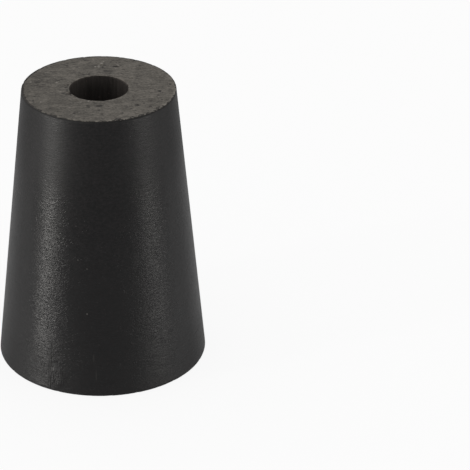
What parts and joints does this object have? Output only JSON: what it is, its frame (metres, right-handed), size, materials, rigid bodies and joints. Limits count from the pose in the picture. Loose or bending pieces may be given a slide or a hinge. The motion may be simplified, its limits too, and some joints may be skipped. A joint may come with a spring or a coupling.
{
  "type": "one-hole rubber stopper",
  "caption": "Tapered black rubber stopper with a straight bore through both flat ends, to plug a vessel's neck around a tube.",
  "frame": {"origin": "centre of the large end's flat face, on the bore's axis, where the stopper rests", "axes": "+Z along the bore's axis, from the large end up to the small end; X and Y are equal, as the form is round"},
  "size_m": [0.029, 0.029, 0.04],
  "materials": {
    "black_rubber": "black moulded rubber: satin and slightly rippled on the tapered side, matt warm grey and finely ground on both ends"
  },
  "bodies": {
    "root": {"stopper": "black_rubber"}
  },
  "joints": []
}
